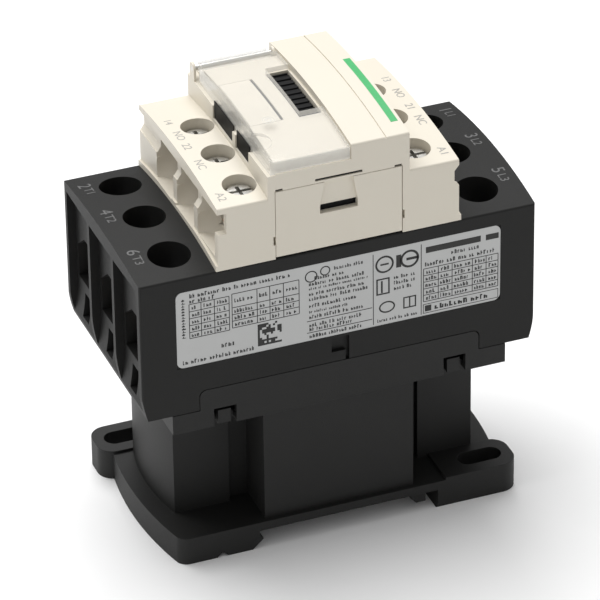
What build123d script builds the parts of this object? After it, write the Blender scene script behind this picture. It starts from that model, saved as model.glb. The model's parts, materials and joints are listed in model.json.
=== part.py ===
from build123d import *
import math
import os

# Three-pole power contactor lying on its mounting face, in millimetres.
# Origin: centre of the mounting face. +Z away from it, X from load side to line side, Y across the poles.

os.makedirs("parts", exist_ok=True)

# ---- Overall sizes
housing_length = 85.0
housing_width = 45.0
half_length = housing_length / 2
half_width = housing_width / 2

# ---- Heights of the seams above the mounting face
plate_top = 6.2
deck_bottom = 32.0
end_seam = 36.4
middle_seam = 41.0
housing_top = 68.0
housing_rise = 1.8
cover_top = 82.0
cover_rise = 1.5
ridge_top = 90.5
ridge_rise = 1.5
seam_gap = 0.15

# ---- Clearances
running_gap = 0.05
part_gap = 0.3
hole_gap = 0.15

# ---- Plan of the magnet, which the base and the contact rooms fit round
leg_half = 6.5
window_width = 9.0
side_leg = 6.5
magnet_half_x = leg_half + window_width + side_leg

# ---- Base housing
plate_edge = half_length - 7.6
plate_crown = half_length - 4.5
plate_corner = 2.5
lug_reach = half_length - 3.0
lug_depth = 10.0
lug_height = 6.8
lug_corner = 3.6
slot_width = 4.5
slot_length = 9.5
slot_x = half_length - 10.0
slot_y = half_width - 5.0
block_half_x = leg_half + window_width + 0.8
block_inset = 1.3
tower_half_y = 12.6
tower_edge = half_length - 9.8
tower_crown = half_length - 8.1
neck_half_y = 11.0
neck_end = magnet_half_x - 1.3
base_wall = 1.6
deck_half_x = half_length - 6.5
deck_floor = 1.5
step_half_x = half_length - 12.4
step_radius = 1.5
snap_x = half_length - 17.7
snap_width = 4.8
snap_height = 4.1
snap_tab = 2.8
snap_face = 0.6
snap_tab_drop = 0.9
foot_mark_x = half_length - 16.5

# ---- Rail groove for a 35 mm top-hat rail
rail_half = 17.5
rail_gap = 0.4
groove_height = 4.2
hook_height = 2.2
hook_reach = 0.4
hook_throat = 3.1
hook_slope = 1.6
foot_chamfer = 0.5
foot_notch = 1.2

# ---- Rail latch
latch_travel = 2.3
latch_low = 1.8
latch_high = 4.0
latch_nose = rail_half - 2.0
latch_bar = 3.3
latch_gap = 0.2
latch_end_gap = 0.6
latch_bevel = 1.2
pull_radius = 0.9
pull_inset = 1.7
tongue_half_y = 6.0
tongue_end = plate_crown - 2.6
latch_window = 3.2
latch_window_half = 1.4
latch_spring_length = 8.4
latch_post = 1.4
latch_spring_radius = 0.85
latch_wire = 0.35

# ---- Magnet
pad_thickness = 1.0
stack_half_y = 6.5
yoke_height = 7.0
pole_face = 30.0
stroke = 4.5
pole_gap = stroke + 0.05
armature_leg = 4.0
armature_yoke = 7.0
armature_low = pole_face + pole_gap
armature_top = armature_low + armature_leg + armature_yoke
shading_wire = 1.2
shading_edge = 1.4
shading_depth = 1.1

# ---- Coil
bore_gap = 0.5
bobbin_wall = 1.0
flange_thickness = 1.2
winding_depth = 5.6
coil_low = plate_top + pad_thickness + yoke_height + 0.2
coil_high = pole_face + 1.0
winding_gap = 0.15
winding_corner = 4.5

# ---- Armature pin and carrier
pin_radius = 1.5
pin_drop = 3.5
cheek_thickness = 2.2
cheek_half_x = 4.2
cheek_wall = 0.95
cheek_low = armature_top - pin_drop - pin_radius - cheek_wall
carrier_half_x = 4.2
carrier_top = 63.9
stem_gap = 0.25
stem_end_gap = 0.4
stem_top = 89.7
grip_depth = 0.3
grip_pitch = 2.0
carrier_gap = 0.85
frame_roof = 1.6

# ---- Return springs
return_radius = 2.6
return_wire = 0.6
return_turns = 6
return_seat = armature_top - 1.55

# ---- Poles
side_wall = 1.7
rib_thickness = 1.3
pole_pitch = (housing_width - 2 * side_wall + rib_thickness) / 3
bay_half = (pole_pitch - rib_thickness) / 2
bay_depth = 2.0
bay_top = housing_top - 1.7
entry_low = 46.5
entry_high = 58.0
funnel_low = 38.0
funnel_height = 41.8
funnel_bend = 0.35
funnel_lip = 1.0
end_bow = 0.25
foot_inset = 1.4
bend_height = 41.2
bay_slit = {"half": 1.8, "low": 39.0, "high": 44.4, "depth": 4.0}
mouth = {"wall": 1.6, "side_top": 54.0, "top": 57.2, "half_flat": 1.6}
chamber_wall = 0.8
chamber_break = 0.5
clamp_play = 0.6
point_radius = 2.6
point_depth = 2.2
arc_roof = 1.9
arc_floor = 2.5
way_gap = 1.5
screw_inset = 9.6
screw_x = half_length - screw_inset
chamber_back = screw_inset + 6.6
arc_half_x = magnet_half_x + 1.0
arc_wall_gap = 2.2
shaft_radius = 4.35
release = {"half_x": 1.9, "low": 43.4, "high": 46.7, "depth": 0.9, "slit": 0.8}
lead_slot_width = 3.8
lead_slot_depth = 2.0

# ---- Main terminals
strip_low = 49.4
strip_thickness = 1.2
strip_half_y = 4.0
strip_top = strip_low + strip_thickness
strip_outer = half_length - 4.2
contact_x = 11.2
tip_half = 2.2
tip_height = 0.8
main_screw = {"shank": 1.95, "head": 3.8, "head_height": 3.0, "tip_length": 7.8, "slot": 1.0,
              "cross": 2.4, "depth": 1.5, "edge": 0.6}
main_boss = {"radius": 3.0, "height": 1.8}
main_clamp_thickness = 1.7
main_clamp_groove = {"radius": 1.1, "drop": 0.4}
main_clamp_half_x = 4.6
main_clamp_gap = 1.3
main_lift = 4.2
lift_gap = 0.9
main_seat = strip_top + main_clamp_thickness
chamber_top = main_seat + main_screw["head_height"] + main_lift + lift_gap

# ---- Contact bridges
contact_gap = 3.2
over_travel = stroke - contact_gap
bridge_half_y = 2.6
bridge_thickness = 1.4
bridge_low = strip_top + tip_height + contact_gap
bridge_bar = bridge_low + tip_height
bridge_reach = contact_x + tip_half
window_half_y = 3.0
window_top = 62.4
spring_radius = 2.0
spring_wire = 0.45
spring_turns = 4

# ---- Front cover
cover_half_x = half_length - 16.9
skirt_half_x = cover_half_x + 0.5
skirt_height = 1.2
waist = 1.0
waist_low = 76.2
waist_high = 80.8
waist_slope = 1.2
waist_foot = 0.2
ridge_half_x = cover_half_x - 10.6
cavity_top = ridge_top - 3.4
cavity_roof = 1.0
cavity_side = 1.5
aux_pitch = 11.8
aux_first = half_width - 14.9
aux_shaft_radius = 3.45
aux_screw_x = cover_half_x - 7.1
aux_bay_half = 4.9
aux_bay_top = 80.0
aux_bay_low = 75.2
aux_point_radius = 2.0
aux_point_depth = 2.0
aux_bay_back = 4.6
aux_floor = 70.6
aux_entry_half = 3.7
aux_entry_low = 72.3

# ---- Auxiliary and coil terminals
aux_strip_low = 73.4
aux_strip_thickness = 0.8
aux_strip_top = aux_strip_low + aux_strip_thickness
aux_strip_half_y = 2.6
aux_screw = {"shank": 1.45, "head": 2.9, "head_height": 6.0, "tip_length": 4.4, "slot": 0.8,
             "cross": 1.8, "depth": 1.2, "edge": 0.45}
aux_clamp_thickness = 1.0
aux_clamp_half_x = 2.9
aux_clamp_groove = {"radius": 0.7, "drop": 0.3}
aux_lift = 2.4
aux_seat = aux_strip_top + aux_clamp_thickness
aux_entry_high = aux_seat + aux_lift + lift_gap
aux_contact_x = 7.4
aux_tip_half = 1.4
aux_tip_height = 0.6
aux_bridge_half_y = 1.7
aux_window_half_y = 2.2
aux_bridge_thickness = 0.9
aux_spring_length = 3.2
aux_spring_radius = 1.2
aux_spring_wire = 0.3
aux_spring_turns = 3
aux_frame_half_y = 4.2
lead_thickness = 0.6
lead_half_x = 1.5
lead_wall_gap = 0.5
lead_foot = 4.0
lead_start = 3.5

# ---- Flap, marker and window
flap_left = ridge_half_x - 0.6
flap_right = 2.4
flap_back = 21.2
flap_thickness = 1.1
flap_air = 0.25
flap_lip = 3.0
flap_skirt = 3.2
flap_recess = 1.6
knuckle_radius = 1.3
knuckle_room = 0.5
knuckle_gap = 0.1
flap_joint = 0.5
flap_relief = 1.9
ear_thickness = 1.0
ear_drop = 1.5
pin_end = 0.3
flap_pin_radius = 0.6
flap_pin_drop = 1.1
marker_thickness = 0.35
marker_gap = 0.1
marker_left = ridge_half_x - 2.1
marker_right = 6.4
marker_back = 10.0
marker_front = 7.7
window_left = 2.6
window_right = 2.2
window_back = 10.8
window_front = 8.0
marker_slot = 0.6
marker_slot_depth = 3.0
thumb_radius = 3.0
thumb_y = 15.2
thumb_depth = 0.45
groove_x = 9.9
groove_width = 0.25
edge_radius = 0.5
side_slot = {"front": -12.0, "bar_front": -4.7, "bar_back": -3.0, "back": 8.0, "low": 84.2}
corner_depth = 1.9

# ---- Side panels
panel_half_x = 13.4
panel_low = 68.4
panel_high = 83.3
panel_thickness = 1.2
panel_gap = 0.12
panel_recess = 0.85
panel_pocket = 9.0
grip_low = 76.3
grip_half_low = 4.0
grip_half_high = 2.8
grip_slot = 1.5
slit_half_x = 5.0
slit_height = 0.55
corner_mark = 1.6
edge_mark = 0.55
edge_mark_low = 71.2
edge_mark_height = 2.0

# ---- Rating label
label_half_x = half_length - 7.8
label_low = 47.3
label_high = 64.9
label_thickness = 0.15
label_sunk = 0.05
label_corner = 1.5

pole_rows = [pole_pitch * (1 - i) for i in range(3)]
aux_rows = [aux_first - aux_pitch * i for i in range(3)]
sides = {"load": -1, "line": 1}


# ---- Shape helpers
def block(x0, x1, y0, y1, z0, z1):
    centre = Pos((x0 + x1) / 2, (y0 + y1) / 2, (z0 + z1) / 2)
    return centre * Box(abs(x1 - x0), abs(y1 - y0), z1 - z0)


def centred(half_x, half_y, z0, z1):
    return block(-half_x, half_x, -half_y, half_y, z0, z1)


def rod_z(x, y, radius, z0, z1):
    return Pos(x, y, (z0 + z1) / 2) * Cylinder(radius, z1 - z0)


def rod_y(x, z, radius, y0, y1):
    return Pos(x, (y0 + y1) / 2, z) * Rot(90, 0, 0) * Cylinder(radius, y1 - y0)


def rod_x(y, z, radius, x0, x1):
    return Pos((x0 + x1) / 2, y, z) * Rot(0, 90, 0) * Cylinder(radius, x1 - x0)


def prism_y(points, y0, y1):
    outline = Wire.make_polygon([(x, y0, z) for x, z in points], close=True)
    return extrude(Face(outline), amount=y1 - y0, dir=(0, 1, 0))


def barrel(edge_x, crown_x, half_y, z0, z1):
    """Plan with straight long sides and slightly bowed ends."""
    outline = Wire([
        Line((-edge_x, -half_y, z0), (edge_x, -half_y, z0)),
        ThreePointArc((edge_x, -half_y, z0), (crown_x, 0, z0), (edge_x, half_y, z0)),
        Line((edge_x, half_y, z0), (-edge_x, half_y, z0)),
        ThreePointArc((-edge_x, half_y, z0), (-crown_x, 0, z0), (-edge_x, -half_y, z0)),
    ])
    return extrude(Face(outline), amount=z1 - z0, dir=(0, 0, 1))


def rounded(shape, axis):
    """Shape with its edges along the axis rounded, the top ones alone for a lengthwise axis."""
    edges = shape.edges().filter_by(axis)
    return fillet(edges if axis == Axis.Z else edges.group_by(Axis.Z)[-1], edge_radius)


def bow(y, rise):
    """Height of an arched top above its long edges."""
    radius = (half_width ** 2 + rise ** 2) / (2 * rise)
    return math.sqrt(radius ** 2 - y ** 2) - (radius - rise)


def arched(x0, x1, half_y, z0, z_edge, rise):
    """Block whose top bows up by the rise between the object's long sides."""
    shoulder = z_edge + bow(half_y, rise)
    outline = Wire([
        Line((x0, -half_y, z0), (x0, -half_y, shoulder)),
        ThreePointArc((x0, -half_y, shoulder), (x0, 0, z_edge + rise), (x0, half_y, shoulder)),
        Line((x0, half_y, shoulder), (x0, half_y, z0)),
        Line((x0, half_y, z0), (x0, -half_y, z0)),
    ])
    return extrude(Face(outline), amount=x1 - x0, dir=(1, 0, 0))


def coil_spring(radius, wire, turns, length):
    """Helical spring standing on the origin, wire centre to wire centre within its length."""
    height = length - 2 * wire
    path = Helix(pitch=height / turns, height=height, radius=radius)
    section = Plane(origin=path @ 0, z_dir=path % 0) * Circle(wire / 2)
    return Pos(0, 0, wire) * sweep(section, path=path, is_frenet=True)


# ---- Base housing
def lug(side):
    """Fixing lug at one of two opposite corners of the base plate."""
    outer = side * lug_reach
    inner = side * (slot_x - slot_length)
    corner_y = -side * half_width
    shape = block(inner, outer, corner_y, corner_y + side * lug_depth, 0, lug_height)
    ends = shape.edges().filter_by(Axis.Z).sort_by(Axis.X)
    return fillet(ends[-2:] if side > 0 else ends[:2], lug_corner)


def fixing_slot(side):
    slot = SlotOverall(slot_length, slot_width)
    return Pos(side * slot_x, -side * slot_y, -1) * extrude(slot, lug_height + 2)


def rail_groove():
    near = rail_half + rail_gap
    foot = latch_nose + latch_bar + latch_travel + latch_gap
    hook_foot = -near - hook_slope
    points = [
        (hook_foot, -1),
        (hook_foot, 0),
        (-near + 2 * hook_reach, hook_height),
        (-near, hook_throat),
        (-near, groove_height),
        (foot, groove_height),
        (foot, 2 * foot_chamfer),
        (foot - foot_chamfer, 0),
        (foot - foot_chamfer, -1),
    ]
    return prism_y(points, -half_width - 1, half_width + 1)


def foot_mark():
    x = -foot_mark_x
    left = x - foot_notch
    right = x + foot_notch
    points = [(left, -1), (left, 0), (x, foot_notch), (right, 0), (right, -1)]
    return prism_y(points, -half_width - 1, half_width + 1)


def snap_hook(x, side):
    """Notch in the deck's long wall with the sprung tab that holds the upper housing."""
    outer = side * (half_width + 1)
    inner = side * (half_width - block_inset - 1)
    notch = block(x - snap_width / 2, x + snap_width / 2, min(outer, inner), max(outer, inner),
                  deck_bottom - 1, deck_bottom + snap_height)
    face = side * (half_width - snap_face)
    tab = block(x - snap_tab / 2, x + snap_tab / 2, min(face, inner), max(face, inner),
                deck_bottom, deck_bottom + snap_height - snap_tab_drop)
    return notch, tab


def base_cavity():
    inner_y = half_width - block_inset - base_wall
    coil_bay = centred(block_half_x - base_wall, inner_y, plate_top, middle_seam + 1)
    neck = centred(neck_end + base_wall, neck_half_y - base_wall, plate_top, middle_seam + 1)
    towers = barrel(tower_edge - base_wall, tower_crown - base_wall, tower_half_y - base_wall,
                    plate_top, middle_seam + 1)
    towers -= centred(neck_end + base_wall, half_width, plate_top - 1, middle_seam + 2)
    deck_y = half_width - block_inset
    deck = centred(deck_half_x - base_wall, deck_y, deck_bottom + deck_floor, middle_seam + 1)
    return coil_bay + neck + towers + deck


def latch_tunnel():
    outer = plate_crown + 1
    tunnel = block(rail_half, outer, -tongue_half_y - running_gap, tongue_half_y + running_gap,
                   latch_low - latch_gap / 2, latch_high + latch_gap / 2)
    post_x = latch_spring_end()
    post = block(post_x, post_x + latch_post, -latch_window_half + latch_gap, latch_window_half - latch_gap,
                 latch_low - latch_gap, latch_high + latch_gap)
    return tunnel - post


def latch_spring_end():
    return latch_nose + latch_bar + latch_window + latch_spring_length


def base_housing():
    plate = barrel(plate_edge, plate_crown, half_width, 0, plate_top)
    plate = fillet(plate.edges().filter_by(Axis.Z), plate_corner)
    body = plate + lug(1) + lug(-1)
    body += centred(block_half_x, half_width - block_inset, plate_top, deck_bottom)
    body += centred(neck_end, neck_half_y, plate_top, deck_bottom)
    towers = barrel(tower_edge, tower_crown, tower_half_y, plate_top, deck_bottom)
    body += towers - centred(neck_end, half_width, 0, middle_seam)
    body += centred(deck_half_x, half_width, deck_bottom, end_seam)
    raised = centred(step_half_x, half_width, end_seam, middle_seam)
    body += fillet(raised.edges().filter_by(Axis.Y).sort_by(Axis.Z)[-2:], step_radius)
    body -= base_cavity()
    for x in (-snap_x, snap_x):
        for side in (-1, 1):
            notch, tab = snap_hook(x, side)
            body = body - notch + tab
    body -= rail_groove()
    body -= foot_mark()
    body -= latch_tunnel()
    for side in (-1, 1):
        body -= fixing_slot(side)
    return body


# ---- Rail latch
def rail_latch():
    """Cross bar under the rail's edge with a tongue that runs in the base plate."""
    nose = [
        (latch_nose, latch_low + latch_bevel),
        (latch_nose + latch_bevel, latch_low),
        (latch_nose + latch_bar, latch_low),
        (latch_nose + latch_bar, latch_high),
        (latch_nose, latch_high),
    ]
    bar = prism_y(nose, -half_width + latch_end_gap, half_width - latch_end_gap)
    tongue_start = latch_nose + latch_bar - 1
    tongue = block(tongue_start, tongue_end, -tongue_half_y, tongue_half_y, latch_low, latch_high)
    window_start = latch_nose + latch_bar + latch_window
    window_end = latch_spring_end() + latch_post + latch_gap
    tongue -= block(window_start, window_end, -latch_window_half, latch_window_half,
                    latch_low - 1, latch_high + 1)
    pull = rod_z(tongue_end - pull_inset, 0, pull_radius, latch_low - 1, latch_high + 1)
    return bar + tongue - pull


def rail_latch_spring():
    start = latch_nose + latch_bar + latch_window
    spring = coil_spring(latch_spring_radius, latch_wire, 9, latch_spring_length)
    return Pos(start, 0, (latch_low + latch_high) / 2) * Rot(0, 90, 0) * spring


# ---- Magnet
def core_pad():
    return centred(magnet_half_x - 1, stack_half_y, plate_top, plate_top + pad_thickness)


def fixed_core():
    """E-shaped lamination stack with its legs up."""
    low = plate_top + pad_thickness
    core = centred(magnet_half_x, stack_half_y, low, pole_face)
    window_low = low + yoke_height
    for side in (-1, 1):
        inner = side * leg_half
        outer = side * (leg_half + window_width)
        core -= block(inner, outer, -half_width, half_width, window_low, pole_face + 1)
    for ring in shading_slots(0):
        core -= ring
    return core


def shading_slots(allowance):
    """Rectangular ring spaces let into the faces of the two outer legs."""
    rings = []
    for side in (-1, 1):
        centre = side * (leg_half + window_width + side_leg / 2)
        low = pole_face - shading_wire
        half_x = side_leg / 2 - shading_edge
        half_y = stack_half_y - shading_wire
        outer = block(centre - half_x, centre + half_x, -half_y, half_y, low, pole_face + 1 - allowance)
        inner = block(centre - half_x + shading_wire, centre + half_x - shading_wire,
                      -half_y + shading_wire, half_y - shading_wire, low - 1, pole_face + 2)
        rings.append(outer - inner)
    return rings


def shading_rings():
    return Compound(children=shading_slots(shading_depth))


def armature():
    """Movable E-shaped stack with short legs facing the fixed core."""
    stack = centred(magnet_half_x, stack_half_y, armature_low, armature_top)
    for side in (-1, 1):
        inner = side * leg_half
        outer = side * (leg_half + window_width)
        stack -= block(inner, outer, -half_width, half_width, armature_low - 1, armature_low + armature_leg)
    return stack - rod_y(0, armature_top - pin_drop, pin_radius, -half_width, half_width)


def armature_pin():
    reach = stack_half_y + hole_gap + cheek_thickness
    return rod_y(0, armature_top - pin_drop, pin_radius, -reach, reach)


# ---- Coil
def bobbin_bore():
    return leg_half + bore_gap, stack_half_y + bore_gap


def coil_bobbin():
    bore_x, bore_y = bobbin_bore()
    inner_y = half_width - block_inset - base_wall
    flange_x = leg_half + window_width - bore_gap
    flange_y = inner_y - bore_gap
    tube = centred(bore_x + bobbin_wall, bore_y + bobbin_wall, coil_low, coil_high)
    lower = centred(flange_x - bore_gap, bore_y + bobbin_wall + winding_depth + winding_gap,
                    coil_low, coil_low + flange_thickness)
    upper = centred(flange_x - bore_gap, flange_y, coil_high - flange_thickness, coil_high)
    return tube + lower + upper - centred(bore_x, bore_y, coil_low - 1, coil_high + 1)


def coil_winding():
    bore_x, bore_y = bobbin_bore()
    inner_x = bore_x + bobbin_wall
    inner_y = bore_y + bobbin_wall
    low = coil_low + flange_thickness
    high = coil_high - flange_thickness
    wound = centred(inner_x + winding_depth, inner_y + winding_depth, low, high)
    wound = fillet(wound.edges().filter_by(Axis.Z), winding_corner)
    return wound - centred(inner_x, inner_y, low - 1, high + 1)


def coil_lead(side):
    """Flat lead from the bobbin flange up the housing's side wall to a coil terminal."""
    inner_y = half_width - block_inset - base_wall
    wall_y = -(half_width - side_wall - lead_wall_gap)
    lead_x = side * aux_screw_x
    start_x = side * (leg_half + window_width - lead_start)
    seat = coil_high
    foot = block(start_x - lead_half_x, start_x + lead_half_x, -inner_y + bore_gap, -inner_y + lead_foot,
                 seat, seat + lead_thickness)
    rise = block(start_x - lead_half_x, start_x + lead_half_x, -inner_y + bore_gap,
                 -inner_y + bore_gap + lead_thickness, seat, deck_bottom + deck_floor + 2 * lead_thickness)
    shelf_low = deck_bottom + deck_floor + lead_thickness
    near = min(start_x, lead_x) - lead_half_x
    far = max(start_x, lead_x) + lead_half_x
    shelf = block(near, far, wall_y, -inner_y + bore_gap + lead_thickness,
                  shelf_low, shelf_low + lead_thickness)
    post = block(lead_x - lead_half_x, lead_x + lead_half_x, wall_y, wall_y + lead_thickness,
                 shelf_low, aux_strip_top)
    tongue = block(lead_x - aux_strip_half_y, lead_x + aux_strip_half_y,
                   wall_y, aux_rows[2] + aux_strip_half_y, aux_strip_low, aux_strip_top)
    tongue -= rod_z(lead_x, aux_rows[2], aux_screw["shank"] + running_gap,
                    aux_strip_low - 1, aux_strip_top + 1)
    return foot + rise + shelf + post + tongue


def coil_leads():
    return Compound(children=[coil_lead(side) for side in (-1, 1)])


# ---- Contact carrier
def bridge_window(y):
    return block(-carrier_half_x - 1, carrier_half_x + 1, y - window_half_y, y + window_half_y,
                 bridge_bar, window_top)


def aux_window(y, low, high):
    return block(-carrier_half_x - 1, carrier_half_x + 1, y - aux_window_half_y, y + aux_window_half_y,
                 low, high)


def arc_half_y():
    return half_width - side_wall - arc_wall_gap


def stem_ends():
    """Front and back of the carrier's stem, which fills the window."""
    return -window_front + stem_end_gap, window_back - stem_end_gap


def contact_carrier():
    """Moulding that holds the armature below, three bridges in the middle and two above."""
    body = centred(carrier_half_x, arc_half_y() - part_gap, armature_top + carrier_gap, carrier_top)
    seat_y = spring_y()
    for side in (-1, 1):
        near = side * (stack_half_y + hole_gap)
        far = side * (stack_half_y + hole_gap + cheek_thickness)
        body += block(-cheek_half_x, cheek_half_x, min(near, far), max(near, far), cheek_low, return_seat + 3)
        pad_end = side * (seat_y + return_radius + return_wire / 2)
        body += block(-return_radius - 1, return_radius + 1, min(near, pad_end), max(near, pad_end),
                      return_seat, return_seat + 3)
    body -= rod_y(0, armature_top - pin_drop, pin_radius, -half_width, half_width)
    for y in pole_rows:
        body -= bridge_window(y)
    low, high = aux_levels()
    upper_y = aux_rows[0] + aux_frame_half_y
    lower_y = aux_rows[1] - aux_frame_half_y
    body += block(-carrier_half_x, carrier_half_x, lower_y, upper_y,
                  carrier_top - 1, high["top"] + frame_roof)
    body -= aux_window(aux_rows[0], high["bar"], high["top"])
    body -= aux_window(aux_rows[1], low["top"], low["bar"] + aux_bridge_thickness + over_travel + running_gap)
    stem_low = high["top"]
    stem_front, stem_back = stem_ends()
    stem = block(-window_left + stem_gap, window_right - stem_gap, stem_front, stem_back, stem_low, stem_top)
    count = int((stem_back - stem_front) / grip_pitch)
    for i in range(count):
        y = stem_front + grip_pitch * (i + 0.5)
        stem -= block(-half_width, half_width, y, y + grip_pitch / 3, stem_top - grip_depth, stem_top + 1)
    return body + stem


def spring_y():
    """Distance of each return spring from the middle, against the housing's side."""
    return arc_half_y() - part_gap - return_radius - return_wire / 2


def return_springs():
    length = return_seat - coil_high
    spring = coil_spring(return_radius, return_wire, return_turns, length)
    return Compound(children=[Pos(0, side * spring_y(), coil_high) * spring for side in (-1, 1)])


# ---- Main terminals
def main_terminal(side, y):
    """Copper strip from the wire bay to the fixed contact, with its silver tip."""
    inner = side * (contact_x - tip_half)
    outer = side * strip_outer
    strip = block(inner, outer, y - strip_half_y, y + strip_half_y, strip_low, strip_top)
    strip += rod_z(side * screw_x, y, main_boss["radius"], strip_low - main_boss["height"], strip_low)
    strip -= rod_z(side * screw_x, y, main_screw["shank"] + running_gap, strip_low - 3, strip_top + 1)
    return strip


def main_terminals(side):
    return Compound(children=[main_terminal(side, y) for y in pole_rows])


def fixed_tips():
    tips = []
    for side in sides.values():
        for y in pole_rows:
            centre = side * contact_x
            tips.append(block(centre - tip_half, centre + tip_half, y - tip_half, y + tip_half,
                              strip_top, strip_top + tip_height))
    return Compound(children=tips)


def screw(size, x, y, seat):
    """Slotted pan-head terminal screw whose head sits on its clamp."""
    head = rod_z(x, y, size["head"], seat, seat + size["head_height"])
    head = fillet(head.edges().filter_by(GeomType.CIRCLE).sort_by(Axis.Z)[-1:], size["edge"])
    shank = rod_z(x, y, size["shank"], seat - size["tip_length"], seat)
    depth = size["depth"]
    half = size["slot"] / 2
    top = seat + size["head_height"]
    slot = block(x - size["head"], x + size["head"], y - half, y + half, top - depth, top + 1)
    cross = size["cross"]
    recess = block(x - half, x + half, y - cross, y + cross, top - depth, top + 1)
    return head + shank - slot - recess


def main_clamp(side, y):
    """Saddle that presses the wires on the strip, turned down at its two outer edges."""
    x = side * screw_x
    half_y = bay_half - main_clamp_gap
    plate = block(x - main_clamp_half_x, x + main_clamp_half_x, y - half_y, y + half_y,
                  strip_top, main_seat)
    for across in (-1, 1):
        centre = y + across * half_y / 2
        plate -= rod_x(centre, strip_top - main_clamp_groove["drop"], main_clamp_groove["radius"],
                       x - main_clamp_half_x - 1, x + main_clamp_half_x + 1)
    return plate - rod_z(x, y, main_screw["shank"] + hole_gap, strip_top - 1, main_seat + 1)


def contact_bridge(y):
    bar = block(-bridge_reach, bridge_reach, y - bridge_half_y, y + bridge_half_y,
                bridge_bar, bridge_bar + bridge_thickness)
    for side in (-1, 1):
        centre = side * contact_x
        bar += block(centre - tip_half, centre + tip_half, y - tip_half, y + tip_half, bridge_low, bridge_bar)
    return bar


def contact_spring(y):
    seat = bridge_bar + bridge_thickness
    return Pos(0, y, seat) * coil_spring(spring_radius, spring_wire, spring_turns, window_top - seat)


# ---- Auxiliary contacts
def aux_levels():
    """Heights of the bar, spring seat and window top of the break pair and the make pair."""
    overlap = aux_strip_low - aux_tip_height
    low_bar = overlap - aux_tip_height - aux_bridge_thickness
    low = {"bar": low_bar, "top": low_bar - aux_spring_length}
    high_bar = aux_strip_top + 2 * aux_tip_height + contact_gap
    high = {"bar": high_bar, "top": high_bar + aux_bridge_thickness + aux_spring_length}
    return low, high


def aux_bridge(y, bar, tip_side):
    half_x = aux_contact_x + aux_tip_half
    shape = block(-half_x, half_x, y - aux_bridge_half_y, y + aux_bridge_half_y,
                  bar, bar + aux_bridge_thickness)
    tip_low = bar - aux_tip_height if tip_side < 0 else bar + aux_bridge_thickness
    for side in (-1, 1):
        centre = side * aux_contact_x
        shape += block(centre - aux_tip_half, centre + aux_tip_half, y - aux_tip_half, y + aux_tip_half,
                       tip_low, tip_low + aux_tip_height)
    return shape


def aux_make_bridge():
    return aux_bridge(aux_rows[0], aux_levels()[1]["bar"], -1)


def aux_break_bridge():
    return aux_bridge(aux_rows[1], aux_levels()[0]["bar"], 1)


def aux_spring():
    return coil_spring(aux_spring_radius, aux_spring_wire, aux_spring_turns, aux_spring_length)


def aux_make_spring():
    high = aux_levels()[1]
    seat = high["bar"] + aux_bridge_thickness
    return Pos(0, aux_rows[0], seat) * aux_spring()


def aux_break_spring():
    low = aux_levels()[0]
    return Pos(0, aux_rows[1], low["top"]) * aux_spring()


def aux_terminal(side, y, tip_side):
    inner = side * (aux_contact_x - aux_tip_half)
    outer = side * (aux_screw_x + aux_clamp_half_x)
    strip = block(inner, outer, y - aux_strip_half_y, y + aux_strip_half_y, aux_strip_low, aux_strip_top)
    centre = side * aux_contact_x
    tip_low = aux_strip_top if tip_side > 0 else aux_strip_low - aux_tip_height
    strip += block(centre - aux_tip_half, centre + aux_tip_half, y - aux_tip_half, y + aux_tip_half,
                   tip_low, tip_low + aux_tip_height)
    return strip - rod_z(side * aux_screw_x, y, aux_screw["shank"] + running_gap,
                         aux_strip_low - 1, aux_strip_top + 1)


def aux_terminals():
    pairs = [(aux_rows[0], 1), (aux_rows[1], -1)]
    return Compound(children=[aux_terminal(side, y, tip) for y, tip in pairs for side in (-1, 1)])


def aux_clamp(side, y):
    x = side * aux_screw_x
    half_y = aux_entry_half - part_gap
    low = aux_strip_top
    plate = block(x - aux_clamp_half_x, x + aux_clamp_half_x, y - half_y, y + half_y, low, aux_seat)
    for across in (-1, 1):
        centre = y + across * half_y / 2
        plate -= rod_x(centre, low - aux_clamp_groove["drop"], aux_clamp_groove["radius"],
                       x - half_length, x + half_length)
    return plate - rod_z(x, y, aux_screw["shank"] + hole_gap, low - 1, aux_seat + 1)


# ---- Pole housing
def housing_shell():
    plan = barrel(half_length - end_bow, half_length, half_width, end_seam, housing_top + housing_rise + 1)
    top = arched(-half_length, half_length, half_width, end_seam + seam_gap, housing_top, housing_rise)
    y = -half_width - 1
    high = housing_top + housing_rise + 1
    foot = half_length - foot_inset
    bend = half_length - foot_inset / 4
    side = Wire([
        Line((-half_length, y, high), (half_length, y, high)),
        Line((half_length, y, high), (half_length, y, entry_low)),
        ThreePointArc((half_length, y, entry_low), (bend, y, bend_height), (foot, y, end_seam)),
        Line((foot, y, end_seam), (-foot, y, end_seam)),
        ThreePointArc((-foot, y, end_seam), (-bend, y, bend_height), (-half_length, y, entry_low)),
        Line((-half_length, y, entry_low), (-half_length, y, high)),
    ])
    profile = extrude(Face(side), amount=housing_width + 2, dir=(0, 1, 0))
    return rounded(plan, Axis.Z) & rounded(top, Axis.X) & profile


def wire_bay(side, y):
    """Open bay in the end face, with a sloping floor that guides the wire into the clamp."""
    back = half_length - bay_depth
    outer = half_length + 1
    cut = block(side * back, side * outer, y - bay_half, y + bay_half, entry_low, bay_top)
    near = y - bay_half
    bend = side * (back + funnel_bend)
    lip = side * (half_length - funnel_lip)
    lower = Wire([
        Line((side * outer, near, entry_low), (side * back, near, entry_low)),
        ThreePointArc((side * back, near, entry_low), (bend, near, funnel_height), (lip, near, funnel_low)),
        Line((lip, near, funnel_low), (lip, near, end_seam - 1)),
        Line((lip, near, end_seam - 1), (side * outer, near, end_seam - 1)),
        Line((side * outer, near, end_seam - 1), (side * outer, near, entry_low)),
    ])
    cut += extrude(Face(lower), amount=2 * bay_half, dir=(0, 1, 0))
    slit = block(side * (back - bay_slit["depth"]), side * outer, y - bay_slit["half"], y + bay_slit["half"],
                 bay_slit["low"], bay_slit["high"])
    return cut + slit


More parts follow.
